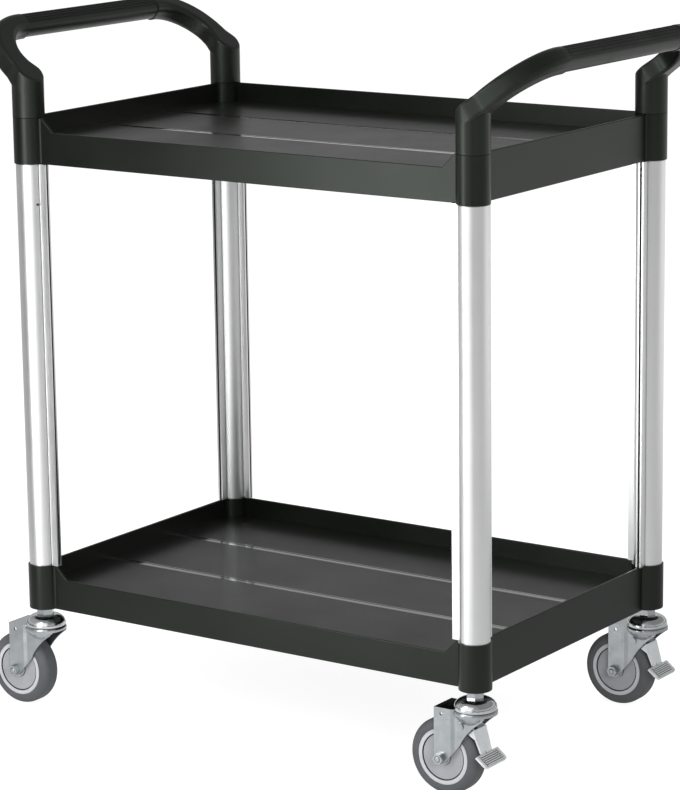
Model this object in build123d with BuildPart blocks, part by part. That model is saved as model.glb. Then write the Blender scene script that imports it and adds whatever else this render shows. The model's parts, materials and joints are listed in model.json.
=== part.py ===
from build123d import *

import os
from math import cos, degrees, hypot, radians, sin, sqrt

os.makedirs("parts", exist_ok=True)

# Service cart: two moulded trays on four ribbed aluminium posts, two push handles, four swivel castors.
# Millimetres, Z up. The origin is on the floor under the middle of the cart.
# X runs along the length, Y runs from the open front to the back.

# Layout of the cart
post_spacing_x = 700.0
post_spacing_y = 438.0
shelf_pitch = 615.0

# Clearances between pieces that stay together
slip = 0.1
seam = 0.1

# Clearances between pieces that move past each other
running = 0.05
swing_gap = 0.4

# Posts
tube_diameter = 39.0
tube_wall = 2.2
rib_tip = 30.0
rib_outer = 6.0
rib_inner = 2.0
rib_slot_width = 3.0
rib_slot_depth = 5.0
rib_groove_radius = 0.7
fixing_hole_diameter = 3.6
fixing_hole_drop = 54.0
fixing_hole_angle = -26.0

# Trays
tray_height = 62.0
tray_wall = 4.0
tray_wall_offset = 4.0
tray_depth = 26.0
tray_floor = 4.0
sleeve_wall = 2.0
sleeve_floor = 4.0
front_drop = 19.0
front_notch_from_sleeve = 2.5
floor_groove_spacing = 150.0
floor_groove_width = 8.0
floor_groove_depth = 0.4
stiffener = 3.0
stiffener_foot = 10.0
stiffener_count_x = 5
stiffener_count_y = 3
rim_round = 1.2
foot_round = 1.0
sleeve_fillet = 3.0

# Handles
socket_depth = 38.0
elbow_rise = 52.0
handle_reach = 75.0
handle_rise = 57.0
arm_width = 32.0
arm_top = 11.5
arm_under = 14.0
arm_round = 4.0
arm_root_proud = 0.05
socket_end = 5.0
socket_round = 1.0
bend_radius = 70.0
bend_steps = 3
bar_diameter = 30.4
collar_diameter = 31.6
collar_corner = 12.6
collar_proud = 0.3
collar_ring = 4.0
collar_round = 1.0
collar_run = 9.0
grip_angle = 70.0
grip_base_diameter = 24.8
grip_top_diameter = 31.4
grip_ridge_radius = 0.9
grip_ridge_count = 9

# Castor wheels
wheel_diameter = 100.0
wheel_trail = 40.0
tyre_width = 30.0
tyre_depth = 13.0
tyre_shoulder = 9.0
core_recess = 0.7
core_lip = 5.5
core_seat = 7.5
core_web = 9.0
hub_diameter = 21.0
hub_side_gap = 2.0
cover_thickness = 1.8
cover_inset = 1.0
cover_gap = 1.7
bearing_diameter = 17.0
bearing_width = 8.0
axle_diameter = 8.0
axle_sleeve_diameter = 12.0
axle_hex = 13.0
axle_head = 5.3
axle_nut_height = 6.5
axle_tail = 7.5
axle_tail_round = 2.0

# Castor forks and swivel heads
fork_plate = 2.5
tyre_side_gap = 1.0
tyre_headroom = 14.5
leg_behind_axle = 9.0
leg_behind_pin = 13.15
jog_depth = 2.5
jog_length = 4.5
knee_from_axle = 27.0
knee_above_axle = 19.5
brow_front = 5.5
brow_below_top = 22.5
cheek_inset = 0.5
leg_hole_diameter = 4.5
leg_hole_inset = 11.0
leg_hole_drop = 8.0
crown_diameter = 57.0
crown_height = 5.5
crown_plate = 4.5
crown_rim = 3.8
skirt_height = 12.0
skirt_curve = 40.0
ball_diameter = 6.0
ball_ring_diameter = 38.0
ball_count = 14
cap_diameter = 55.0
cap_height = 14.0
cap_top_diameter = 24.0
cap_rim = 2.4
neck_height = 11.0
neck_hex = 21.0
stem_diameter = 12.0
stem_length = 30.0
plug_length = 36.0
king_nut_hex = 19.0
king_nut_height = 6.0

# Brake pedals, placed by angle round the axle and distance from the tread
pin_diameter = 6.0
pin_head_diameter = 9.0
pin_head = 1.6
pin_angle = 57.8
pin_from_tread = 4.7
pedal_plate = 2.5
pedal_side_gap = 1.5
pedal_ear_radius = 4.6
pedal_top_angle = 43.0
pedal_top_from_tread = 11.55
pedal_heel_angle = 11.6
pedal_heel_from_tread = 7.15
ear_share = 0.35
web_top_width = 31.0
web_foot_width = 24.0
gusset_width = 4.0
gusset_share = 0.3
step_run = 15.5
step_fall = 12.0
step_width = 50.0
step_thickness = 3.0
step_corner = 5.0
step_ridge_radius = 0.9
step_ridge_count = 6

# Places worked out from the driving sizes
half_x = post_spacing_x / 2
half_y = post_spacing_y / 2
tube_radius = tube_diameter / 2
sleeve_radius = tube_radius + sleeve_wall
front_notch_from_post = sleeve_radius + front_notch_from_sleeve
wheel_radius = wheel_diameter / 2
fork_top = wheel_diameter + tyre_headroom + fork_plate
cap_base = fork_top + swing_gap
cap_top = cap_base + cap_height
lower_base = cap_top + neck_height
lower_rim = lower_base + tray_height
upper_base = lower_base + shelf_pitch
upper_rim = upper_base + tray_height
post_foot = lower_base + sleeve_floor + seam
post_top = upper_rim + socket_depth
tray_length = post_spacing_x + 2 * tray_wall_offset
tray_width = post_spacing_y + 2 * tray_wall_offset
grip_length = post_spacing_y - 2 * (bend_radius + collar_run)
core_diameter = wheel_diameter - 2 * tyre_depth
core_width = tyre_width - 2 * core_recess
core_lip_bore = core_diameter - 2 * core_lip
core_seat_bore = core_diameter - 2 * core_seat
cheek_inner = tyre_width / 2 + tyre_side_gap
cheek_outer = cheek_inner + fork_plate
leg_inner = cheek_inner + jog_depth
leg_outer = leg_inner + fork_plate
hub_width = 2 * (leg_inner - hub_side_gap)
hub_bore = axle_sleeve_diameter + 2 * swing_gap
pedal_width = 2 * (cheek_inner - pedal_side_gap)


def beside_tread(angle, distance):
    radius = wheel_radius + distance
    return Vector(radius * cos(radians(angle)) - wheel_trail, radius * sin(radians(angle)) + wheel_radius)


# Brake places seen from the side, measured from the post and the floor
pin_place = beside_tread(pin_angle, pin_from_tread)
pedal_top = beside_tread(pedal_top_angle, pedal_top_from_tread)
pedal_heel = beside_tread(pedal_heel_angle, pedal_heel_from_tread)

corners = (
    ("front_left", -1, -1, False),
    ("front_right", 1, -1, True),
    ("rear_right", 1, 1, True),
    ("rear_left", -1, 1, False),
)


def save(piece, name):
    piece.part.label = name
    export_step(piece.part, f"parts/{name}.step")


# Posts: a round tube, with two ribs over its visible length that carry the trays apart
for corner, side_x, side_y, braked in corners:
    along = (-(side_x + side_y) / 2, (side_x - side_y) / 2, 0)
    axis_x = side_x * half_x
    axis_y = side_y * half_y
    rib_middle = (rib_inner - rib_outer) / 2
    rib_thickness = rib_inner + rib_outer
    slot_middle = rib_tip - rib_slot_depth / 2
    groove_reach = sqrt(tube_radius**2 - rib_outer**2)
    with BuildPart() as post:
        with BuildSketch(Plane(origin=(axis_x, axis_y, lower_rim + seam), x_dir=along)):
            Circle(tube_radius)
            with Locations((rib_tip / 2, rib_middle)):
                Rectangle(rib_tip, rib_thickness)
            with Locations((rib_middle, rib_tip / 2)):
                Rectangle(rib_thickness, rib_tip)
            with Locations((slot_middle, rib_middle)):
                Rectangle(rib_slot_depth, rib_slot_width, mode=Mode.SUBTRACT)
            with Locations((rib_middle, slot_middle)):
                Rectangle(rib_slot_width, rib_slot_depth, mode=Mode.SUBTRACT)
            with Locations((groove_reach, -rib_outer), (-rib_outer, groove_reach)):
                Circle(rib_groove_radius, mode=Mode.SUBTRACT)
        extrude(amount=upper_base - lower_rim - 2 * seam)
        with BuildSketch(Plane(origin=(axis_x, axis_y, post_foot), x_dir=along)):
            Circle(tube_radius)
        extrude(amount=post_top - post_foot)
        with BuildSketch(Plane(origin=(axis_x, axis_y, post_foot), x_dir=along)):
            Circle(tube_radius - tube_wall)
        extrude(amount=post_top - post_foot, mode=Mode.SUBTRACT)
        if corner == "front_left":
            aim = (cos(radians(fixing_hole_angle)), sin(radians(fixing_hole_angle)), 0)
            with BuildSketch(Plane(origin=(axis_x, axis_y, upper_base - fixing_hole_drop), z_dir=aim)):
                Circle(fixing_hole_diameter / 2)
            extrude(amount=rib_tip, mode=Mode.SUBTRACT)
    save(post, f"{corner}_post")

# Trays: walls and floor in one moulding, with a sleeve for a post in each corner
for name, base, closed in (("lower_tray", lower_base, sleeve_floor), ("upper_tray", upper_base, 0.0)):
    rim = base + tray_height
    floor_top = rim - tray_depth
    stiffener_depth = tray_height - tray_depth - tray_floor - stiffener_foot
    notch_top = half_x - front_notch_from_post
    notch_foot = notch_top - front_drop
    with BuildPart() as tray:
        with BuildSketch(Plane.XY.offset(base)):
            Rectangle(tray_length, tray_width)
            Rectangle(tray_length - 2 * tray_wall, tray_width - 2 * tray_wall, mode=Mode.SUBTRACT)
        extrude(amount=tray_height)
        with BuildSketch(Plane.XZ.offset(tray_width / 2)):
            with BuildLine():
                Polyline(
                    (-notch_top, rim),
                    (-notch_foot, rim - front_drop),
                    (notch_foot, rim - front_drop),
                    (notch_top, rim),
                    close=True,
                )
            make_face()
        extrude(amount=-tray_wall, mode=Mode.SUBTRACT)
        rim_edges = tray.edges().filter_by(lambda edge: edge.center().Z > floor_top)
        fillet(rim_edges.filter_by(Axis.Z, reverse=True), rim_round)
        with BuildSketch(Plane.XY.offset(floor_top - tray_floor)):
            Rectangle(tray_length - tray_wall, tray_width - tray_wall)
        extrude(amount=tray_floor)
        with BuildSketch(Plane.XY.offset(base + stiffener_foot)):
            with GridLocations(tray_length / (stiffener_count_x + 1), 0, stiffener_count_x, 1):
                Rectangle(stiffener, tray_width - tray_wall)
            with GridLocations(0, tray_width / (stiffener_count_y + 1), 1, stiffener_count_y):
                Rectangle(tray_length - tray_wall, stiffener)
        extrude(amount=stiffener_depth)
        with BuildSketch(Plane.XY.offset(floor_top)):
            with GridLocations(0, floor_groove_spacing, 1, 2):
                Rectangle(tray_length - 2 * tray_wall, floor_groove_width)
        extrude(amount=-floor_groove_depth, mode=Mode.SUBTRACT)
        with BuildSketch(Plane.XY.offset(base)):
            with GridLocations(post_spacing_x, post_spacing_y, 2, 2):
                Circle(sleeve_radius)
        extrude(amount=tray_height)
        foot = tray.faces().filter_by(Axis.Z).sort_by(Axis.Z)[0]
        fillet(foot.outer_wire().edges(), foot_round)
        for corner, side_x, side_y, braked in corners:
            along = (-(side_x + side_y) / 2, (side_x - side_y) / 2, 0)
            web_end = front_notch_from_post + rim_round
            corner_foot = (side_x * half_x, side_y * half_y, base + foot_round)
            with BuildSketch(Plane(origin=corner_foot, x_dir=along)):
                Circle(sleeve_radius)
                with Locations((web_end / 2, -tray_wall_offset / 2)):
                    Rectangle(web_end, tray_wall_offset)
                with Locations((-tray_wall_offset / 2, web_end / 2)):
                    Rectangle(tray_wall_offset, web_end)
                fillet(vertices().sort_by_distance((sleeve_radius, -tray_wall_offset, 0))[0], sleeve_fillet)
                fillet(vertices().sort_by_distance((-tray_wall_offset, sleeve_radius, 0))[0], sleeve_fillet)
            extrude(amount=tray_height - foot_round - rim_round)
        with BuildSketch(Plane.XY.offset(base + closed)):
            with GridLocations(post_spacing_x, post_spacing_y, 2, 2):
                Circle(tube_radius + slip)
        extrude(amount=tray_height - closed, mode=Mode.SUBTRACT)
        if closed:
            with BuildSketch(Plane.XY.offset(base)):
                with GridLocations(post_spacing_x, post_spacing_y, 2, 2):
                    Circle(stem_diameter / 2 + slip)
            extrude(amount=closed, mode=Mode.SUBTRACT)
    save(tray, name)

# Handles: a socket on each of two posts, with a flat-sided arm that leans outward and rounds off into the bar
elbow_z = upper_rim + elbow_rise
bar_z = elbow_z + handle_rise
arm_span = hypot(handle_reach, handle_rise)
shoulder = arm_span - bend_radius
arm_end = bend_radius + collar_run
arm_half = arm_width / 2
arm_thickness = arm_top + arm_under
arm_middle = (arm_top - arm_under) / 2
root_half = sleeve_radius + arm_root_proud
grip_edge_x = bar_diameter * sin(radians(grip_angle))
grip_edge_z = bar_diameter * cos(radians(grip_angle))
ridge_step = 2 * (grip_angle - degrees(grip_ridge_radius * 2 / grip_top_diameter)) / grip_ridge_count
ridge_fan = ridge_step * (grip_ridge_count - 1)

for hand, side in (("left", -1), ("right", 1)):
    elbow = Vector(side * half_x, side * half_y, elbow_z)
    outward = Vector(side * handle_reach, 0, handle_rise).normalized()
    facing = Vector(-side * handle_rise, 0, handle_reach).normalized()
    across = Vector(0, -side, 0)
    lean = Plane(origin=elbow, x_dir=across, z_dir=facing)
    bend_middle = elbow + outward * shoulder + across * bend_radius
    bar_start = elbow + outward * arm_span + across * bend_radius
    bar_x = side * (half_x + handle_reach)
    bar_end = Plane(origin=(bar_x, 0, bar_z), x_dir=(1, 0, 0), z_dir=(0, -1, 0))
    with BuildPart() as arms:
        with BuildSketch(lean.offset(-arm_under)):
            with BuildLine():
                outer_flare = Spline((-arm_half, shoulder), (-root_half, 0), tangents=((0, -1), (0, -1)))
                inner_flare = Spline((arm_half, shoulder), (root_half, 0), tangents=((0, -1), (0, -1)))
                Polyline(outer_flare @ 1, (-root_half, -arm_span), (root_half, -arm_span), inner_flare @ 1)
                Line(outer_flare @ 0, inner_flare @ 0)
            make_face()
        extrude(amount=arm_thickness)
        with BuildSketch(Plane.XY.offset(upper_rim)):
            with Locations((elbow.X, elbow.Y)):
                Circle(root_half)
            with Locations((elbow.X + side * arm_span, elbow.Y)):
                Rectangle(2 * arm_span, 4 * arm_span)
        extrude(amount=2 * arm_span, mode=Mode.INTERSECT)
        for level in (arm_top, -arm_under):
            flat = lean.offset(level)
            rims = arms.edges().filter_by(lambda edge: abs(flat.to_local_coords(edge.center()).Z) < seam)
            arm_edges = rims.filter_by(lambda edge: flat.to_local_coords(edge.center()).Y < shoulder - seam)
            fillet(arm_edges, arm_round)
        for step in range(bend_steps + 1):
            share = step / bend_steps
            turn = radians(90 * share)
            place = bend_middle - across * bend_radius * cos(turn) + outward * bend_radius * sin(turn)
            ahead = outward * cos(turn) + across * sin(turn)
            with BuildSketch(Plane(place, x_dir=facing, z_dir=ahead)):
                with Locations((arm_middle * (1 - share), 0)):
                    RectangleRounded(
                        arm_thickness + (collar_diameter - arm_thickness) * share,
                        arm_width + (collar_diameter - arm_width) * share,
                        arm_round + (collar_corner - arm_round) * share,
                    )
        arm_tip = bar_start + across * (collar_run - collar_ring / 2)
        with BuildSketch(Plane(arm_tip, x_dir=facing, z_dir=across)):
            RectangleRounded(collar_diameter, collar_diameter, collar_corner)
        loft()
        mirror(about=Plane.XZ)
    with BuildPart() as collars:
        with BuildSketch(Plane(bar_start + across * collar_run, x_dir=facing, z_dir=across)):
            Circle(collar_diameter / 2 + collar_proud)
        extrude(amount=-collar_ring)
        fillet(collars.edges().filter_by(GeomType.CIRCLE), collar_round)
        mirror(about=Plane.XZ)
    with BuildPart() as handle:
        with BuildSketch(Plane(origin=(elbow.X, elbow.Y, upper_rim + seam))):
            Circle(sleeve_radius)
        extrude(amount=elbow_rise + sleeve_radius)
        fillet(handle.edges().sort_by(Axis.Z)[0], socket_round)
        split(bisect_by=lean.offset(-socket_end), keep=Keep.BOTTOM)
        mirror(about=Plane.XZ)
        add(arms.part)
        add(collars.part)
        with BuildSketch(bar_end):
            Circle(bar_diameter / 2)
        extrude(amount=grip_length / 2, both=True)
        with BuildSketch(Plane.XY.offset(upper_rim)):
            with Locations((elbow.X, -half_y), (elbow.X, half_y)):
                Circle(tube_radius + slip)
        extrude(amount=socket_depth + seam, mode=Mode.SUBTRACT)
        with BuildSketch(bar_end):
            Circle(bar_diameter)
            Circle(grip_base_diameter / 2, mode=Mode.SUBTRACT)
            with BuildLine():
                Polyline(
                    (0, 0),
                    (-grip_edge_x, grip_edge_z),
                    (-bar_diameter, bar_diameter),
                    (bar_diameter, bar_diameter),
                    (grip_edge_x, grip_edge_z),
                    close=True,
                )
            make_face(mode=Mode.INTERSECT)
        extrude(amount=grip_length / 2, both=True, mode=Mode.SUBTRACT)
    save(handle, f"{hand}_handle")

    # Grip: a ribbed strip let into the top of the bar
    with BuildPart() as grip:
        with BuildSketch(bar_end):
            Circle(grip_top_diameter / 2)
            ridge_start = 90 - ridge_fan / 2
            ridge_ring = grip_top_diameter / 2
            with PolarLocations(ridge_ring, grip_ridge_count, ridge_start, ridge_fan, endpoint=True):
                Circle(grip_ridge_radius)
            Circle(grip_base_diameter / 2 + slip, mode=Mode.SUBTRACT)
            with BuildLine():
                Polyline(
                    (0, slip),
                    (-grip_edge_x, grip_edge_z + slip),
                    (-bar_diameter, bar_diameter),
                    (bar_diameter, bar_diameter),
                    (grip_edge_x, grip_edge_z + slip),
                    close=True,
                )
            make_face(mode=Mode.INTERSECT)
        extrude(amount=grip_length / 2 - slip, both=True)
    save(grip, f"{hand}_grip")

# Castor plugs: a threaded insert in the foot of each post
with BuildPart() as plugs:
    with BuildSketch(Plane.XY.offset(post_foot)):
        with GridLocations(post_spacing_x, post_spacing_y, 2, 2):
            Circle(tube_radius - tube_wall - slip)
            Circle(stem_diameter / 2 + slip, mode=Mode.SUBTRACT)
    extrude(amount=plug_length)
save(plugs, "castor_plugs")

# Levels inside the swivel head
race_floor = cap_base - ball_diameter / 2
race_roof = race_floor + ball_diameter + swing_gap + running
crown_under = race_floor - crown_plate
king_nut_top = crown_under - swing_gap
king_end = king_nut_top - king_nut_height

# Castor stems: a stud in the plug that goes down through the head as the king pin
with BuildPart() as stems:
    with BuildSketch(Plane.XY.offset(king_end)):
        with GridLocations(post_spacing_x, post_spacing_y, 2, 2):
            Circle(stem_diameter / 2)
    extrude(amount=post_foot + stem_length - king_end)
save(stems, "castor_stems")

# Lock nuts: the hexagon neck between the head and the tray
with BuildPart() as lock_nuts:
    with BuildSketch(Plane.XY.offset(cap_top)):
        with GridLocations(post_spacing_x, post_spacing_y, 2, 2):
            RegularPolygon(neck_hex / 2, 6, major_radius=False)
            Circle(stem_diameter / 2 + slip, mode=Mode.SUBTRACT)
    extrude(amount=neck_height)
save(lock_nuts, "stem_lock_nuts")

# King nuts: hold each fork up on its stem
with BuildPart() as king_nuts:
    with BuildSketch(Plane.XY.offset(king_end)):
        with GridLocations(post_spacing_x, post_spacing_y, 2, 2):
            RegularPolygon(king_nut_hex / 2, 6, major_radius=False)
            Circle(stem_diameter / 2 + slip, mode=Mode.SUBTRACT)
    extrude(amount=king_nut_height)
save(king_nuts, "king_nuts")

# Race caps: the domed upper half of each head, fixed on the stem
with BuildPart() as caps:
    for corner, side_x, side_y, braked in corners:
        head = Plane(origin=(side_x * half_x, side_y * half_y, 0), x_dir=(1, 0, 0), z_dir=(0, -1, 0))
        with BuildSketch(head):
            with BuildLine():
                bore = stem_diameter / 2 + slip
                shell = cap_diameter / 2
                dome_foot = cap_base + cap_rim
                Polyline(
                    (shell, dome_foot),
                    (shell, cap_base),
                    (shell - cap_rim, cap_base),
                    (shell - cap_rim, race_roof),
                    (bore, race_roof),
                    (bore, cap_top),
                    (cap_top_diameter / 2, cap_top),
                )
                EllipticalCenterArc(
                    (cap_top_diameter / 2, dome_foot),
                    shell - cap_top_diameter / 2,
                    cap_top - dome_foot,
                    arc_size=90,
                )
            make_face()
        revolve(axis=Axis((side_x * half_x, side_y * half_y, 0), (0, 0, 1)))
save(caps, "race_caps")

# Swivel balls: a ring of balls in each head
with BuildPart() as balls:
    for corner, side_x, side_y, braked in corners:
        centre = (side_x * half_x, side_y * half_y, race_roof - running - ball_diameter / 2)
        with Locations(Plane(origin=centre)):
            with PolarLocations(ball_ring_diameter / 2, ball_count):
                Sphere(ball_diameter / 2)
save(balls, "swivel_balls")

# Castors: fork, axle and wheel at each corner, with a brake on the right-hand pair
for corner, side_x, side_y, braked in corners:
    post_x = side_x * half_x
    post_y = side_y * half_y
    axle_x = post_x - wheel_trail
    side_view = Plane(origin=(post_x, post_y, 0), x_dir=(1, 0, 0), z_dir=(0, -1, 0))
    wheel_section = Plane(origin=(axle_x, post_y, wheel_radius), x_dir=(0, 1, 0), z_dir=(1, 0, 0))
    axle = Axis((axle_x, post_y, wheel_radius), (0, 1, 0))
    swivel = Axis((post_x, post_y, 0), (0, 0, 1))
    leg_rear = -wheel_trail - leg_behind_axle
    leg_front = pin_place.X - leg_behind_pin
    cheek_rear = leg_front + jog_length
    rim_radius = crown_diameter / 2
    crown_foot = fork_top - crown_height
    skirt_foot = crown_foot - skirt_height
    cheek_front = sqrt((rim_radius - cheek_inset) ** 2 - cheek_outer**2)

    # Fork: two legs stepped in towards the crown, a top plate and the lower half of the swivel head
    with BuildPart() as fork:
        with BuildSketch(side_view):
            with BuildLine():
                RadiusArc((rim_radius, crown_foot), (cheek_outer, skirt_foot), skirt_curve)
                Polyline(
                    (cheek_outer, skirt_foot),
                    (0, skirt_foot),
                    (0, crown_foot),
                    (rim_radius, crown_foot),
                )
            make_face()
        revolve(axis=swivel)
        with BuildSketch(Plane(origin=(post_x, post_y, skirt_foot))):
            Rectangle(crown_diameter, 2 * cheek_inner)
        extrude(amount=skirt_height, mode=Mode.SUBTRACT)
        with BuildSketch(Plane(origin=(post_x, post_y, wheel_radius - leg_behind_axle))):
            with BuildLine():
                Polyline(
                    (leg_rear, leg_inner),
                    (leg_front, leg_inner),
                    (cheek_rear, cheek_inner),
                    (cheek_front, cheek_inner),
                    (cheek_front, cheek_outer),
                    (cheek_rear, cheek_outer),
                    (leg_front, leg_outer),
                    (leg_rear, leg_outer),
                    close=True,
                )
            make_face()
            mirror(about=Plane.XZ)
        extrude(amount=fork_top - wheel_radius + leg_behind_axle)
        with BuildSketch(side_view):
            with BuildLine():
                knee = (-wheel_trail + knee_from_axle, wheel_radius + knee_above_axle)
                lower = JernArc((leg_rear, wheel_radius), (0, -1), leg_behind_axle, 135)
                Line(lower @ 1, knee)
                brow = ThreePointArc(knee, (brow_front, fork_top - brow_below_top), (rim_radius, crown_foot))
                Polyline(
                    brow @ 1,
                    (rim_radius, crown_under + crown_plate / 2),
                    (cheek_rear, crown_under + crown_plate / 2),
                    (cheek_rear, fork_top),
                    (leg_rear, fork_top),
                    (leg_rear, wheel_radius),
                )
            make_face()
        extrude(amount=rim_radius, both=True, mode=Mode.INTERSECT)
        with BuildSketch(Plane(origin=(post_x, post_y, fork_top - fork_plate))):
            with BuildLine():
                Polyline(
                    (leg_rear, -leg_outer),
                    (leg_front, -leg_outer),
                    (cheek_rear, -cheek_outer),
                    (cheek_rear, cheek_outer),
                    (leg_front, leg_outer),
                    (leg_rear, leg_outer),
                    close=True,
                )
            make_face()
        extrude(amount=fork_plate)
        with BuildSketch(side_view):
            with BuildLine():
                Polyline(
                    (0, crown_under),
                    (0, race_floor),
                    (rim_radius - crown_rim, race_floor),
                    (rim_radius - crown_rim, fork_top),
                    (rim_radius - crown_rim / 2, fork_top),
                )
                RadiusArc(
                    (rim_radius - crown_rim / 2, fork_top),
                    (rim_radius, fork_top - crown_rim),
                    crown_rim,
                )
                Polyline(
                    (rim_radius, fork_top - crown_rim),
                    (rim_radius, crown_foot),
                    (rim_radius - crown_rim, crown_foot),
                    (rim_radius - crown_rim, crown_under),
                    (0, crown_under),
                )
            make_face()
        revolve(axis=swivel)
        with BuildSketch(Plane(origin=(post_x, post_y, race_floor))):
            Circle(rim_radius - crown_rim)
        extrude(amount=fork_top - race_floor, mode=Mode.SUBTRACT)
        with BuildSketch(Plane(origin=(post_x, post_y, crown_under))):
            Circle(stem_diameter / 2 + running)
        extrude(amount=crown_plate, mode=Mode.SUBTRACT)
        with BuildSketch(side_view):
            with Locations((-wheel_trail, wheel_radius)):
                Circle(axle_diameter / 2 + slip)
            with Locations((leg_rear + leg_hole_inset, fork_top - leg_hole_drop)):
                Circle(leg_hole_diameter / 2)
            if braked:
                with Locations(pin_place):
                    Circle(pin_diameter / 2 + slip)
        extrude(amount=leg_outer, both=True, mode=Mode.SUBTRACT)
    save(fork, f"{corner}_fork")

    # Axle sleeve: the spacer tube between the legs that the wheel turns on
    with BuildPart() as axle_sleeve:
        with BuildSketch(side_view):
            with Locations((-wheel_trail, wheel_radius)):
                Circle(axle_sleeve_diameter / 2)
                Circle(axle_diameter / 2 + slip, mode=Mode.SUBTRACT)
        extrude(amount=leg_inner - seam, both=True)
    save(axle_sleeve, f"{corner}_axle_sleeve")

    # Axle bolt: hexagon head behind, plain shank, threaded tail in front
    with BuildPart() as axle_bolt:
        with BuildSketch(side_view.offset(-leg_outer - seam)):
            with Locations((-wheel_trail, wheel_radius)):
                RegularPolygon(axle_hex / 2, 6, major_radius=False)
        extrude(amount=-axle_head)
        with BuildSketch(side_view.offset(-leg_outer - seam)):
            with Locations((-wheel_trail, wheel_radius)):
                Circle(axle_diameter / 2)
        extrude(amount=2 * leg_outer + seam + axle_tail)
        tail = axle_bolt.faces().sort_by(Axis.Y)[0]
        fillet(tail.edges(), axle_tail_round)
    save(axle_bolt, f"{corner}_axle_bolt")

    # Axle nut: on the tail of the bolt, against the front leg
    with BuildPart() as axle_nut:
        with BuildSketch(side_view.offset(leg_outer + seam)):
            with Locations((-wheel_trail, wheel_radius)):
                RegularPolygon(axle_hex / 2, 6, major_radius=False)
                Circle(axle_diameter / 2 + slip, mode=Mode.SUBTRACT)
        extrude(amount=axle_nut_height)
    save(axle_nut, f"{corner}_axle_nut")

    # Wheel core: rim, web and hub in one turned moulding
    with BuildPart() as core:
        with BuildSketch(wheel_section):
            with Locations((0, (core_diameter + hub_diameter) / 4)):
                Rectangle(core_web, (core_diameter - hub_diameter) / 2)
            with Locations((0, (core_diameter + core_seat_bore) / 4)):
                Rectangle(
                    core_width - 2 * (cover_inset + cover_thickness),
                    (core_diameter - core_seat_bore) / 2,
                )
            with Locations((0, (core_diameter + core_lip_bore) / 4)):
                Rectangle(core_width, (core_diameter - core_lip_bore) / 2)
            with Locations((0, (hub_diameter + hub_bore) / 4)):
                Rectangle(hub_width, (hub_diameter - hub_bore) / 2)
            seat_height = (bearing_diameter - axle_sleeve_diameter) / 2 + slip
            with GridLocations(hub_width - bearing_width, 0, 2, 1):
                with Locations((0, axle_sleeve_diameter / 2 + seat_height / 2)):
                    Rectangle(bearing_width, seat_height, mode=Mode.SUBTRACT)
        revolve(axis=axle)
    save(core, f"{corner}_wheel_core")

    # Tyre: grey tread with rounded shoulders, seated on the core
    with BuildPart() as tyre:
        with BuildSketch(wheel_section):
            with Locations((0, wheel_radius)):
                Rectangle(tyre_width, tyre_depth - slip, align=(Align.CENTER, Align.MAX))
            fillet(vertices().group_by(Axis.Y)[-1], tyre_shoulder)
        revolve(axis=axle)
    save(tyre, f"{corner}_tyre")

    # Wheel covers: a disc in each side of the core
    with BuildPart() as covers:
        with BuildSketch(wheel_section):
            cover_outer = core_lip_bore / 2 - cover_gap
            cover_inner = hub_diameter / 2 + slip
            with GridLocations(core_width - 2 * cover_inset - cover_thickness - slip, 0, 2, 1):
                with Locations((0, (cover_outer + cover_inner) / 2)):
                    Rectangle(cover_thickness - slip, cover_outer - cover_inner)
        revolve(axis=axle)
    save(covers, f"{corner}_wheel_covers")

    # Wheel bearings: two plain rings pressed into the hub
    with BuildPart() as bearings:
        with BuildSketch(wheel_section):
            ring_inner = axle_sleeve_diameter / 2 + running
            with GridLocations(hub_width - bearing_width + slip, 0, 2, 1):
                with Locations((0, (bearing_diameter / 2 + ring_inner) / 2)):
                    Rectangle(bearing_width - slip, bearing_diameter / 2 - ring_inner)
        revolve(axis=axle)
    save(bearings, f"{corner}_wheel_bearings")

    if braked:
        # Brake pin: riveted across the fork cheeks
        with BuildPart() as pin:
            with BuildSketch(side_view):
                with Locations(pin_place):
                    Circle(pin_diameter / 2)
            extrude(amount=cheek_outer + seam, both=True)
            for face_side in (-1, 1):
                with BuildSketch(side_view.offset(face_side * (cheek_outer + seam))):
                    with Locations(pin_place):
                        Circle(pin_head_diameter / 2)
                extrude(amount=face_side * pin_head)
        save(pin, f"{corner}_brake_pin")

        # Brake pedal: two ears on the pin, a web in front of the tyre and a ridged step
        step_along = Vector(step_run, -step_fall)
        step_lift = Vector(step_fall, step_run).normalized() * step_thickness / 2
        step_place = (post_x + pedal_heel.X, post_y, pedal_heel.Y)
        step_face = Plane(origin=step_place, x_dir=(step_run, 0, -step_fall), z_dir=(step_fall, 0, step_run))
        web_along = pedal_heel - pedal_top
        web_place = (post_x + pedal_top.X, post_y, pedal_top.Y)
        web_normal = (-web_along.Y, 0, web_along.X)
        web_face = Plane(origin=web_place, x_dir=(web_along.X, 0, web_along.Y), z_dir=web_normal)
        ear_end = pedal_top + web_along * ear_share
        with BuildPart() as pedal:
            for face_side in (-1, 1):
                with BuildSketch(side_view.offset(face_side * pedal_width / 2)):
                    with Locations(pin_place):
                        Circle(pedal_ear_radius)
                    with Locations(pedal_top, ear_end):
                        Circle(pedal_plate / 2)
                    make_hull()
                extrude(amount=-face_side * pedal_plate)
            with BuildSketch(web_face):
                with BuildLine():
                    Polyline(
                        (0, -web_top_width / 2),
                        (web_along.length, -web_foot_width / 2),
                        (web_along.length, web_foot_width / 2),
                        (0, web_top_width / 2),
                        close=True,
                    )
                make_face()
            extrude(amount=pedal_plate / 2, both=True)
            with BuildSketch(side_view):
                with Locations(pedal_heel):
                    Circle(pedal_plate / 2)
            extrude(amount=web_foot_width / 2, both=True)
            with BuildSketch(side_view):
                with BuildLine():
                    Polyline(
                        pedal_heel,
                        pedal_heel - web_along * gusset_share,
                        pedal_heel + step_along * gusset_share,
                        close=True,
                    )
                make_face()
            extrude(amount=gusset_width / 2, both=True)
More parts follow.
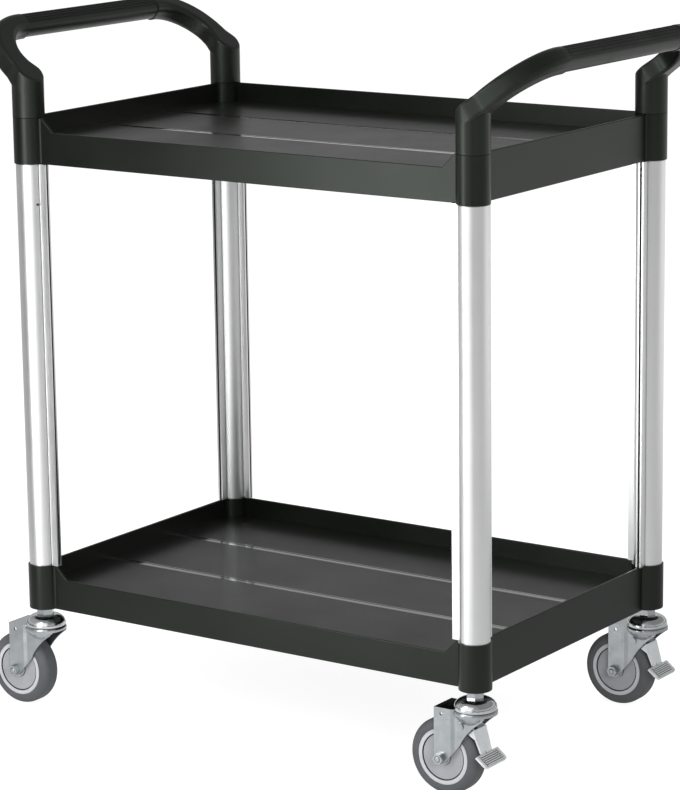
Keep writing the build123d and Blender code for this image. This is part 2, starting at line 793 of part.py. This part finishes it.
            with BuildSketch(step_face):
                Rectangle(step_along.length, step_width, align=(Align.MIN, Align.CENTER))
                fillet(vertices().group_by(Axis.X)[-1], step_corner)
            extrude(amount=step_thickness / 2, both=True)
            with BuildSketch(side_view):
                for ridge in range(1, step_ridge_count + 1):
                    with Locations(pedal_heel + step_along * ridge / (step_ridge_count + 1) + step_lift):
                        Circle(step_ridge_radius)
            extrude(amount=step_width / 2 - step_corner, both=True)
            with BuildSketch(side_view):
                with Locations(pin_place):
                    Circle(pin_diameter / 2 + running)
            extrude(amount=pedal_width / 2, both=True, mode=Mode.SUBTRACT)
        save(pedal, f"{corner}_brake_pedal")
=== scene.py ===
import json
import math

import bmesh
import bpy
from mathutils import Matrix, Vector

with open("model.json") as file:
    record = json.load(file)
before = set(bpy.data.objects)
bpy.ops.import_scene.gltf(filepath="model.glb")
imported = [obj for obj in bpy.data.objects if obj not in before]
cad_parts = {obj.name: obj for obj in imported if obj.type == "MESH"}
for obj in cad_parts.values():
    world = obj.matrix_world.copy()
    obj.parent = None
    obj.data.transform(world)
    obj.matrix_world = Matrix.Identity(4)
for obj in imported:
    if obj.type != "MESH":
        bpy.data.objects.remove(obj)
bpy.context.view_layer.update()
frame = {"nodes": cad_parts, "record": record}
cad = frame["nodes"]
print("frame loaded:", len(cad), "nodes")


# shader tree helpers
def put(tree, kind, inputs=None, **settings):
    node = tree.nodes.new(kind)
    for key, value in settings.items():
        setattr(node, key, value)
    for key, value in (inputs or {}).items():
        if isinstance(value, bpy.types.NodeSocket):
            tree.links.new(value, node.inputs[key])
        else:
            node.inputs[key].default_value = value
    return node


def maths(tree, operation, first, second=0.0, third=0.0):
    return put(tree, "ShaderNodeMath", {0: first, 1: second, 2: third}, operation=operation).outputs[0]


# a Mix node's factor is its socket 0, and its two plain numbers are sockets 2 and 3
def mixValue(tree, factor, first, second):
    return put(tree, "ShaderNodeMix", {0: factor, 2: first, 3: second}, data_type="FLOAT").outputs[0]


def along(tree, vector, direction):
    dotted = put(tree, "ShaderNodeVectorMath", {0: vector, 1: direction}, operation="DOT_PRODUCT")
    return dotted.outputs["Value"]


def spread(tree, value, low, high, fromLow=0.0, fromHigh=1.0):
    inputs = {"Value": value, "From Min": fromLow, "From Max": fromHigh, "To Min": low, "To Max": high}
    return put(tree, "ShaderNodeMapRange", inputs).outputs["Result"]


def blendColour(tree, factor, first, second):
    node = put(tree, "ShaderNodeMix", data_type="RGBA")
    tree.links.new(factor, node.inputs["Factor"])
    for name, value in (("A", first), ("B", second)):
        socket = [s for s in node.inputs if s.name == name and s.type == "RGBA"][0]
        if isinstance(value, bpy.types.NodeSocket):
            tree.links.new(value, socket)
        else:
            socket.default_value = (*value, 1.0)
    return [s for s in node.outputs if s.type == "RGBA"][0]


def newGroup(name, inputs, outputs):
    tree = bpy.data.node_groups.new(name, "ShaderNodeTree")
    for label, value in inputs.items():
        kind = "NodeSocketVector" if label == "Vector" else "NodeSocketFloat"
        tree.interface.new_socket(name=label, in_out="INPUT", socket_type=kind).default_value = value
    for label in outputs:
        tree.interface.new_socket(name=label, in_out="OUTPUT", socket_type="NodeSocketFloat")
    return tree, put(tree, "NodeGroupInput"), put(tree, "NodeGroupOutput")


def noise(tree, vector, scale, detail, roughness):
    inputs = {"Vector": vector, "Scale": scale, "Detail": detail, "Roughness": roughness}
    return put(tree, "ShaderNodeTexNoise", inputs).outputs["Fac"]


# moulded plastic: fine spark-eroded grain, slow flow clouds and a few rub marks
# a noise row, here and in the metal, gives detail and roughness, and a range the part of the noise in use
mouldMake = {
    "inputs": {"Vector": (0.0, 0.0, 0.0), "Grain Scale": 900.0, "Cloud Scale": 9.0},
    "grainNoise": (3.0, 0.6), "pitShare": 0.6,
    "cloudNoise": (5.0, 0.62), "cloudRange": (0.32, 0.68),
    "rubStretch": (1.0, 3.0, 22.0), "rubScale": 34.0, "rubNoise": (4.0, 0.7), "rubRange": (0.58, 0.8),
}


def makeMouldGrain():
    tree, source, sink = newGroup("mouldGrain", mouldMake["inputs"], ("Height", "Cloud", "Rub"))
    vector, grainScale = source.outputs["Vector"], source.outputs["Grain Scale"]
    fine = noise(tree, vector, grainScale, *mouldMake["grainNoise"])
    pits = put(tree, "ShaderNodeTexVoronoi", {"Vector": vector, "Scale": grainScale}).outputs["Distance"]
    cloud = noise(tree, vector, source.outputs["Cloud Scale"], *mouldMake["cloudNoise"])
    stretch = {"Vector": vector, "Scale": mouldMake["rubStretch"]}
    stretched = put(tree, "ShaderNodeMapping", stretch).outputs["Vector"]
    rub = noise(tree, stretched, mouldMake["rubScale"], *mouldMake["rubNoise"])
    height = maths(tree, "ADD", fine, maths(tree, "MULTIPLY", pits, mouldMake["pitShare"]))
    tree.links.new(height, sink.inputs["Height"])
    tree.links.new(spread(tree, cloud, 0.0, 1.0, *mouldMake["cloudRange"]), sink.inputs["Cloud"])
    tree.links.new(spread(tree, rub, 0.0, 1.0, *mouldMake["rubRange"]), sink.inputs["Rub"])
    return tree


# drawn and plated metal: long lines along the draw, a cloudy film and small nicks
filmMake = {
    "inputs": {"Vector": (0.0, 0.0, 0.0), "Line Scale": 1500.0, "Draw Stretch": 0.012, "Film Scale": 22.0},
    "lineNoise": (2.0, 0.55),
    "filmNoise": (6.0, 0.6), "filmRange": (0.3, 0.7),
    "nickScale": 260.0, "nickWidth": 0.06,
}


def makeMetalFilm():
    tree, source, sink = newGroup("metalFilm", filmMake["inputs"], ("Lines", "Film", "Nicks"))
    vector = source.outputs["Vector"]
    parts = put(tree, "ShaderNodeSeparateXYZ", {"Vector": vector})
    drawn = maths(tree, "MULTIPLY", parts.outputs["Z"], source.outputs["Draw Stretch"])
    squeeze = {"X": parts.outputs["X"], "Y": parts.outputs["Y"], "Z": drawn}
    drawnOut = put(tree, "ShaderNodeCombineXYZ", squeeze).outputs["Vector"]
    lines = noise(tree, drawnOut, source.outputs["Line Scale"], *filmMake["lineNoise"])
    film = noise(tree, vector, source.outputs["Film Scale"], *filmMake["filmNoise"])
    cells = {"Vector": vector, "Scale": filmMake["nickScale"]}
    nicks = put(tree, "ShaderNodeTexVoronoi", cells, feature="DISTANCE_TO_EDGE").outputs["Distance"]
    tree.links.new(lines, sink.inputs["Lines"])
    tree.links.new(spread(tree, film, 0.0, 1.0, *filmMake["filmRange"]), sink.inputs["Film"])
    tree.links.new(spread(tree, nicks, 1.0, 0.0, 0.0, filmMake["nickWidth"]), sink.inputs["Nicks"])
    return tree


# painted shade in grooves and corners, from how open the surface is within reach
recessMake = {
    "inputs": {"Reach": 0.002, "Amount": 0.9, "Open From": 0.4, "Open To": 0.85},
    "samples": 16,
}


def makeRecessShade():
    tree, source, sink = newGroup("recessShade", recessMake["inputs"], ("Shaded",))
    reach = {"Distance": source.outputs["Reach"]}
    hollow = put(tree, "ShaderNodeAmbientOcclusion", reach, samples=recessMake["samples"]).outputs["AO"]
    openRange = source.outputs["Open From"], source.outputs["Open To"]
    tree.links.new(spread(tree, hollow, source.outputs["Amount"], 0.0, *openRange), sink.inputs["Shaded"])
    return tree


mouldGrain = makeMouldGrain()
metalFilm = makeMetalFilm()
recessShade = makeRecessShade()


def startMaterial(name):
    material = bpy.data.materials.new(name)
    material.use_nodes = True
    tree = material.node_tree
    coords = put(tree, "ShaderNodeTexCoord").outputs["Object"]
    return material, tree, tree.nodes["Principled BSDF"], coords


# lays painted shade over the finish in grooves and corners
def addRecessShade(tree, look, colour):
    low, high = look["recessFrom"]
    sizes = {"Reach": look["recessReach"], "Amount": look["recess"], "Open From": low, "Open To": high}
    shading = put(tree, "ShaderNodeGroup", sizes, node_tree=recessShade)
    return blendColour(tree, shading.outputs["Shaded"], colour, look["shadeColour"])


def addSurface(tree, shader, look, colour, rough, height):
    relief = {"Strength": look["bump"], "Distance": look["bumpDepth"], "Height": height}
    bump = put(tree, "ShaderNodeBump", relief)
    tree.links.new(colour, shader.inputs["Base Color"])
    tree.links.new(rough, shader.inputs["Roughness"])
    tree.links.new(bump.outputs["Normal"], shader.inputs["Normal"])


# the two smooth bands let into each tray floor
def bandMask(tree, coords, look):
    parts = put(tree, "ShaderNodeSeparateXYZ", {"Vector": coords})
    sideways = maths(tree, "ABSOLUTE", parts.outputs["Y"])
    acrossBand = maths(tree, "COMPARE", sideways, look["bandY"], look["bandHalf"])
    low, high = look["bandLevels"]
    lower = maths(tree, "COMPARE", parts.outputs["Z"], low, look["bandTolerance"])
    upper = maths(tree, "COMPARE", parts.outputs["Z"], high, look["bandTolerance"])
    inside = maths(tree, "LESS_THAN", maths(tree, "ABSOLUTE", parts.outputs["X"]), look["bandReach"])
    mask = maths(tree, "MULTIPLY", acrossBand, inside)
    return maths(tree, "MULTIPLY", mask, maths(tree, "ADD", lower, upper))


def makePlastic(name, look):
    material, tree, shader, coords = startMaterial(name)
    sizes = {"Vector": coords, "Grain Scale": look["grainScale"], "Cloud Scale": look["cloudScale"]}
    grain = put(tree, "ShaderNodeGroup", sizes, node_tree=mouldGrain)
    base = blendColour(tree, grain.outputs["Cloud"], look["dark"], look["light"])
    rubbed = maths(tree, "MULTIPLY", grain.outputs["Rub"], look["rub"])
    colour = blendColour(tree, rubbed, base, look["rubbed"])
    # painted shade in the grooves and the ring between rim and cover
    if "recess" in look:
        colour = addRecessShade(tree, look, colour)
    rough = spread(tree, grain.outputs["Cloud"], *look["roughness"])
    height = grain.outputs["Height"]
    if "bandY" in look:
        band = bandMask(tree, coords, look)
        rough = maths(tree, "MULTIPLY", rough, spread(tree, band, 1.0, look["bandRoughness"]))
        height = maths(tree, "MULTIPLY", height, spread(tree, band, 1.0, 0.0))
        tree.links.new(band, shader.inputs["Coat Weight"])
        shader.inputs["Coat Roughness"].default_value = look["coatRoughness"]
    addSurface(tree, shader, look, colour, rough, height)
    shader.inputs["Specular IOR Level"].default_value = look["specular"]
    shader.inputs["Specular Tint"].default_value = (*look["sheen"], 1.0)
    return material


def makeMetal(name, look):
    material, tree, shader, coords = startMaterial(name)
    sizes = {
        "Vector": coords, "Line Scale": look["lineScale"],
        "Draw Stretch": look["drawStretch"], "Film Scale": look["filmScale"],
    }
    film = put(tree, "ShaderNodeGroup", sizes, node_tree=metalFilm)
    colour = blendColour(tree, film.outputs["Film"], look["dull"], look["bright"])
    # painted shade in slots, seams and corners
    colour = addRecessShade(tree, look, colour)
    swing = look["lineRoughness"]  # how far the lines move the roughness, half of it each way
    lined = maths(tree, "MULTIPLY_ADD", film.outputs["Lines"], swing, -swing / 2)
    rough = maths(tree, "ADD", spread(tree, film.outputs["Film"], *look["roughness"]), lined)
    if "polishFrom" in look:  # pressings are burnished towards the swivel head
        parts = put(tree, "ShaderNodeSeparateXYZ", {"Vector": coords})
        polish = spread(tree, parts.outputs["Z"], 1.0, look["polish"], *look["polishFrom"])
        rough = maths(tree, "MULTIPLY", rough, polish)
    nicks = maths(tree, "MULTIPLY", film.outputs["Nicks"], look["nicks"])
    height = maths(tree, "ADD", film.outputs["Lines"], nicks)
    addSurface(tree, shader, look, colour, rough, height)
    shader.inputs["Metallic"].default_value = look["metallic"]
    return material


trayLook = {
    "sheen": (0.89, 1.0, 0.90),
    "dark": (0.0030, 0.0034, 0.0028), "light": (0.0046, 0.0051, 0.0044),
    "rubbed": (0.009, 0.0095, 0.009), "rub": 0.06,
    "grainScale": 1100.0, "cloudScale": 8.0, "roughness": (0.29, 0.35),
    "bump": 0.2, "bumpDepth": 0.0002, "specular": 0.4,
    "bandY": 0.075, "bandHalf": 0.0060, "bandLevels": (0.178, 0.793), "bandTolerance": 0.0005,
    "bandRoughness": 0.25, "bandReach": 0.3495, "coatRoughness": 0.1,
}
handleLook = {
    "sheen": (0.89, 1.0, 0.90),
    "dark": (0.0032, 0.0036, 0.0030), "light": (0.0048, 0.0053, 0.0046),
    "rubbed": (0.009, 0.0095, 0.009), "rub": 0.06,
    "grainScale": 1100.0, "cloudScale": 14.0, "roughness": (0.34, 0.42),
    "bump": 0.2, "bumpDepth": 0.0002, "specular": 0.5,
}
gripLook = {
    "sheen": (0.89, 1.0, 0.90),
    "dark": (0.004, 0.0043, 0.004), "light": (0.006, 0.0064, 0.006),
    "rubbed": (0.009, 0.0095, 0.009), "rub": 0.3,
    "grainScale": 1600.0, "cloudScale": 20.0, "roughness": (0.46, 0.6),
    "bump": 0.4, "bumpDepth": 0.0002, "specular": 0.4,
}
tyreLook = {
    "sheen": (1.0, 1.0, 1.0),
    "dark": (0.062, 0.066, 0.071), "light": (0.086, 0.09, 0.096),
    "rubbed": (0.15, 0.155, 0.16), "rub": 0.5,
    "grainScale": 1400.0, "cloudScale": 30.0, "roughness": (0.55, 0.7),
    "bump": 0.3, "bumpDepth": 0.0002, "specular": 0.4,
}
# in the looks below, the dark colour laid into grooves and corners is painted shade
coreLook = {
    "sheen": (1.0, 1.0, 1.0),
    "dark": (0.43, 0.435, 0.455), "light": (0.48, 0.485, 0.505),
    "rubbed": (0.44, 0.445, 0.47), "rub": 0.3,
    "grainScale": 1500.0, "cloudScale": 30.0, "roughness": (0.36, 0.48),
    "bump": 0.2, "bumpDepth": 0.00015, "specular": 0.5,
    "shadeColour": (0.02, 0.021, 0.023), "recess": 0.95, "recessReach": 0.003, "recessFrom": (0.5, 0.92),
}
coverLook = {
    "sheen": (1.0, 1.0, 1.0),
    "dark": (0.27, 0.275, 0.295), "light": (0.315, 0.32, 0.34),
    "rubbed": (0.245, 0.25, 0.27), "rub": 0.3,
    "grainScale": 1500.0, "cloudScale": 30.0, "roughness": (0.36, 0.48),
    "bump": 0.2, "bumpDepth": 0.00015, "specular": 0.5,
    "shadeColour": (0.02, 0.021, 0.023), "recess": 0.95, "recessReach": 0.003, "recessFrom": (0.5, 0.92),
}
plugLook = {
    "sheen": (1.0, 1.0, 1.0),
    "dark": (0.018, 0.018, 0.018), "light": (0.026, 0.026, 0.026),
    "rubbed": (0.03, 0.03, 0.03), "rub": 0.3,
    "grainScale": 900.0, "cloudScale": 20.0, "roughness": (0.5, 0.6),
    "bump": 0.3, "bumpDepth": 0.0002, "specular": 0.4,
}
postLook = {
    "metallic": 1.0,
    "dull": (0.90, 0.905, 0.91), "bright": (0.945, 0.948, 0.95),
    "roughness": (0.34, 0.40), "lineRoughness": 0.12,
    "lineScale": 1500.0, "drawStretch": 0.012, "filmScale": 14.0,
    "nicks": 0.05, "bump": 0.12, "bumpDepth": 0.0002,
    "shadeColour": (0.03, 0.031, 0.033), "recess": 0.92, "recessReach": 0.004, "recessFrom": (0.4, 0.85),
}
zincLook = {
    "metallic": 1.0,
    "dull": (0.44, 0.47, 0.485), "bright": (0.56, 0.59, 0.605),
    "roughness": (0.26, 0.38), "lineRoughness": 0.06,
    "lineScale": 700.0, "drawStretch": 0.3, "filmScale": 60.0,
    "nicks": 0.02, "bump": 0.15, "bumpDepth": 0.0002,
    "polishFrom": (0.1, 0.114), "polish": 0.5,
    "shadeColour": (0.03, 0.032, 0.035), "recess": 0.9, "recessReach": 0.0014, "recessFrom": (0.35, 0.75),
}
# painted light: a lighter, half-metallic copy of the zinc for the pedal, so that the lamps light it
pedalLitLook = {
    "metallic": 0.5,
    "dull": (0.62, 0.645, 0.655), "bright": (0.74, 0.765, 0.775),
    "roughness": (0.34, 0.46), "lineRoughness": 0.06,
    "lineScale": 700.0, "drawStretch": 0.3, "filmScale": 60.0,
    "nicks": 0.02, "bump": 0.15, "bumpDepth": 0.0002,
    "shadeColour": (0.03, 0.032, 0.035), "recess": 0.95, "recessReach": 0.003, "recessFrom": (0.62, 0.95),
}
capLook = {
    "metallic": 1.0,
    "dull": (0.66, 0.69, 0.70), "bright": (0.78, 0.80, 0.81),
    "roughness": (0.14, 0.20), "lineRoughness": 0.04,
    "lineScale": 700.0, "drawStretch": 0.3, "filmScale": 60.0,
    "nicks": 0.02, "bump": 0.12, "bumpDepth": 0.0002,
    "shadeColour": (0.03, 0.032, 0.035), "recess": 0.9, "recessReach": 0.0014, "recessFrom": (0.35, 0.75),
}
bearingLook = {
    "metallic": 1.0,
    "dull": (0.5, 0.51, 0.52), "bright": (0.64, 0.65, 0.66),
    "roughness": (0.18, 0.26), "lineRoughness": 0.05,
    "lineScale": 900.0, "drawStretch": 1.0, "filmScale": 80.0,
    "nicks": 0.1, "bump": 0.1, "bumpDepth": 0.0001,
    "shadeColour": (0.05, 0.052, 0.055), "recess": 0.8, "recessReach": 0.002, "recessFrom": (0.4, 0.85),
}

finishes = {
    "tray_plastic": makePlastic("trayPlastic", trayLook),
    "handle_plastic": makePlastic("handlePlastic", handleLook),
    "grip_plastic": makePlastic("gripRubber", gripLook),
    "tyre_rubber": makePlastic("tyreRubber", tyreLook),
    "core_plastic": makePlastic("rimPlastic", coreLook),
    "cover_plastic": makePlastic("coverPlastic", coverLook),
    "plug_plastic": makePlastic("plugPlastic", plugLook),
    "anodised_aluminium": makeMetal("anodisedTube", postLook),
    "zinc_steel": makeMetal("zincPlate", zincLook),
    "bearing_steel": makeMetal("bearingSteel", bearingLook),
}
slotOf = {row["node"]: row["material_slot"] for row in frame["record"]["subparts"]}
pieceFinishes = {  # pieces whose finish differs from the rest, by the end of their name; the pedal's is a lighter, half-metallic copy of the zinc, painted light so that the lamps light it
    "brake_pedal": makeMetal("pedalLitZinc", pedalLitLook),
    "race_caps": makeMetal("capZinc", capLook),
}
for name, node in cad.items():
    own = [finish for ending, finish in pieceFinishes.items() if name.endswith(ending)]
    node.data.materials.clear()
    node.data.materials.append(own[0] if own else finishes[slotOf[name]])
print("finishes made:", len(finishes) + len(pieceFinishes))

# studio: a white floor and surround to the camera, toned ones in what the finishes mirror, and soft lamps
studio = {
    "floorSize": 60.0, "floorTone": 0.8, "floorGlow": 0.89, "floorShade": 0.3, "mirrorShade": 0.08,
    "floorMirror": 0.84, "mirrorAway": (-0.573, 0.82, 0.0), "awayFall": (-1.3, -0.4), "awayTone": 0.48,
    "mirrorRight": (0.82, 0.573, 0.0), "rightFall": (-1.5, -0.3),
    "leftDim": 0.95, "leftBack": 0.6, "leftFall": (-0.6, 0.4),
    # a painted shadow of the cart on the floor, round this spot, in what the finishes mirror
    "shadowSpot": (0.9, 0.6, 0.0), "shadowFall": (0.3, 1.5), "shadowTone": 0.42,
    "surroundFront": 0.6, "surroundBack": 0.70, "surroundAim": (0.5, 0.85, 0.15), "surroundFill": 0.5,
    "surroundTurn": (-1.0, 0.6), "ceilingTurn": (-0.3, 0.2),
    "horizonTone": 0.12, "horizonRise": (0.09, 0.3),
    "horizonGlow": 0.5, "glowFoot": (0.10, 0.12), "glowTop": (0.15, 0.17),
    "backdropTop": (0.30, 0.42), "ceilingFront": 0.6, "ceilingBack": 0.35,
    "lamps": (
        # name, place, aim, width, height, watts, mirrored
        ("frontStrip", (-0.3, -1.05, 0.62), (-0.1, 0.0, 0.55), 0.36, 1.5, 7.0, True),
        ("stripLeftEdge", (-0.66, -1.05, 0.62), (-0.46, 0.0, 0.55), 0.36, 1.5, 0.5, True),
        ("stripRightEdge", (0.23, -1.05, 0.62), (0.43, 0.0, 0.55), 0.7, 1.5, 2.5, True),
        ("keyBox", (2.5, -2.0, 1.5), (0.1, 0.0, 0.3), 1.6, 1.4, 62.0, False),
        ("leftBox", (-2.6, -1.2, 2.0), (0.0, 0.0, 0.4), 1.6, 1.6, 16.0, False),
        ("topBox", (0.0, 0.6, 3.2), (0.0, 0.0, 0.4), 2.4, 2.4, 38.0, False),
    ),
}
white = (1.0, 1.0, 1.0, 1.0)
bm = bmesh.new()
bmesh.ops.create_grid(bm, x_segments=1, y_segments=1, size=studio["floorSize"] / 2)
floorMesh = bpy.data.meshes.new("floor")
bm.to_mesh(floorMesh)
bm.free()
floor = bpy.data.objects.new("floor", floorMesh)
bpy.context.scene.collection.objects.link(floor)

floorPaint = bpy.data.materials.new("floorPaint")
floorPaint.use_nodes = True
tree = floorPaint.node_tree
tree.nodes.clear()
path = put(tree, "ShaderNodeLightPath")
seen = maths(tree, "MAXIMUM", path.outputs["Is Camera Ray"], path.outputs["Is Glossy Ray"])
seen = maths(tree, "MAXIMUM", seen, path.outputs["Is Transmission Ray"])
where = put(tree, "ShaderNodeNewGeometry").outputs["Position"]
away = along(tree, where, studio["mirrorAway"])
right = along(tree, where, studio["mirrorRight"])
reach = {0: where, 1: studio["shadowSpot"]}
fromShadow = put(tree, "ShaderNodeVectorMath", reach, operation="DISTANCE").outputs["Value"]
mirror = spread(tree, away, studio["awayTone"], studio["floorMirror"], *studio["awayFall"])
leftDim = spread(tree, right, studio["leftDim"], 0.0, *studio["rightFall"])
leftDim = maths(tree, "MULTIPLY", leftDim, spread(tree, away, 1.0, studio["leftBack"], *studio["leftFall"]))
mirror = maths(tree, "MULTIPLY", mirror, maths(tree, "SUBTRACT", 1.0, leftDim))
# the painted shadow of the cart darkens the mirrored floor near the spot
mirror = maths(tree, "MULTIPLY", mirror, spread(tree, fromShadow, studio["shadowTone"], 1.0, *studio["shadowFall"]))
strength = mixValue(tree, path.outputs["Is Camera Ray"], mirror, studio["floorGlow"])
glow = put(tree, "ShaderNodeEmission", {"Color": white, "Strength": strength})
shadeTone = mixValue(tree, path.outputs["Is Camera Ray"], studio["mirrorShade"], studio["floorShade"])
shade = put(tree, "ShaderNodeBsdfDiffuse", {"Color": shadeTone})
matt = put(tree, "ShaderNodeBsdfDiffuse", {"Color": (*(studio["floorTone"],) * 3, 1.0)})
shown = put(tree, "ShaderNodeAddShader", {0: glow.outputs[0], 1: shade.outputs[0]})
mixed = put(tree, "ShaderNodeMixShader", {0: seen, 1: matt.outputs[0], 2: shown.outputs[0]})
put(tree, "ShaderNodeOutputMaterial", {"Surface": mixed.outputs[0]})
floorMesh.materials.append(floorPaint)

world = bpy.data.worlds.new("studioSurround")
bpy.context.scene.world = world
world.use_nodes = True
tree = world.node_tree
tree.nodes.clear()
path = put(tree, "ShaderNodeLightPath")
direction = put(tree, "ShaderNodeTexCoord").outputs["Generated"]
aim = Vector(studio["surroundAim"]).normalized()
facing = along(tree, direction, aim)
tone = spread(tree, facing, studio["surroundFront"], studio["surroundBack"], *studio["surroundTurn"])
height = put(tree, "ShaderNodeSeparateXYZ", {"Vector": direction}).outputs["Z"]
ceiling = spread(tree, facing, studio["ceilingFront"], studio["ceilingBack"], *studio["ceilingTurn"])
tone = maths(tree, "MULTIPLY", tone, spread(tree, height, studio["horizonTone"], 1.0, *studio["horizonRise"]))
glow = spread(tree, height, 0.0, studio["horizonGlow"], *studio["glowFoot"])
tone = maths(tree, "MULTIPLY_ADD", glow, spread(tree, height, 1.0, 0.0, *studio["glowTop"]), tone)
tone = maths(tree, "MULTIPLY", tone, spread(tree, height, 1.0, ceiling, *studio["backdropTop"]))
mirrored = maths(tree, "MAXIMUM", path.outputs["Is Glossy Ray"], path.outputs["Is Transmission Ray"])
fill = mixValue(tree, mirrored, studio["surroundFill"], tone)
strength = maths(tree, "MAXIMUM", fill, path.outputs["Is Camera Ray"])
surround = put(tree, "ShaderNodeBackground", {"Color": white, "Strength": strength})
put(tree, "ShaderNodeOutputWorld", {"Surface": surround.outputs[0]})

for name, place, target, width, height, watts, mirrored in studio["lamps"]:
    lampData = bpy.data.lights.new(name, "AREA")
    lampData.shape = "RECTANGLE"
    lampData.size = width
    lampData.size_y = height
    lampData.energy = watts
    lamp = bpy.data.objects.new(name, lampData)
    lamp.location = place
    lamp.rotation_euler = (Vector(target) - Vector(place)).to_track_quat("-Z", "Y").to_euler()
    lamp.visible_camera = False
    lamp.visible_glossy = mirrored
    bpy.context.scene.collection.objects.link(lamp)
print("studio set:", len(studio["lamps"]), "lamps")

# camera fitted to the photograph's frame of 680 by 790
shot = {
    "place": (2.4244, -3.4845, 1.3751), "yaw": 0.6086, "pitch": 0.2171, "roll": -0.0132,
    "focalPixels": 3219.1, "tall": 790.0, "sensor": 36.0, "farClip": 200.0,
}
ahead = Vector((
    -math.sin(shot["yaw"]) * math.cos(shot["pitch"]),
    math.cos(shot["yaw"]) * math.cos(shot["pitch"]),
    -math.sin(shot["pitch"]),
))
level = Vector((math.cos(shot["yaw"]), math.sin(shot["yaw"]), 0.0))
above = level.cross(ahead)
sideways = math.cos(shot["roll"]) * level + math.sin(shot["roll"]) * above
upright = sideways.cross(ahead)
cameraData = bpy.data.cameras.new("camera")
cameraData.sensor_width = shot["sensor"]
cameraData.lens = shot["focalPixels"] * shot["sensor"] / shot["tall"]
cameraData.clip_end = shot["farClip"]
camera = bpy.data.objects.new("camera", cameraData)
turned = Matrix((sideways, upright, -ahead)).transposed().to_4x4()
camera.matrix_world = Matrix.Translation(shot["place"]) @ turned
bpy.context.scene.collection.objects.link(camera)
bpy.context.scene.camera = camera
bpy.context.scene.view_settings.view_transform = "Standard"
print("camera set")
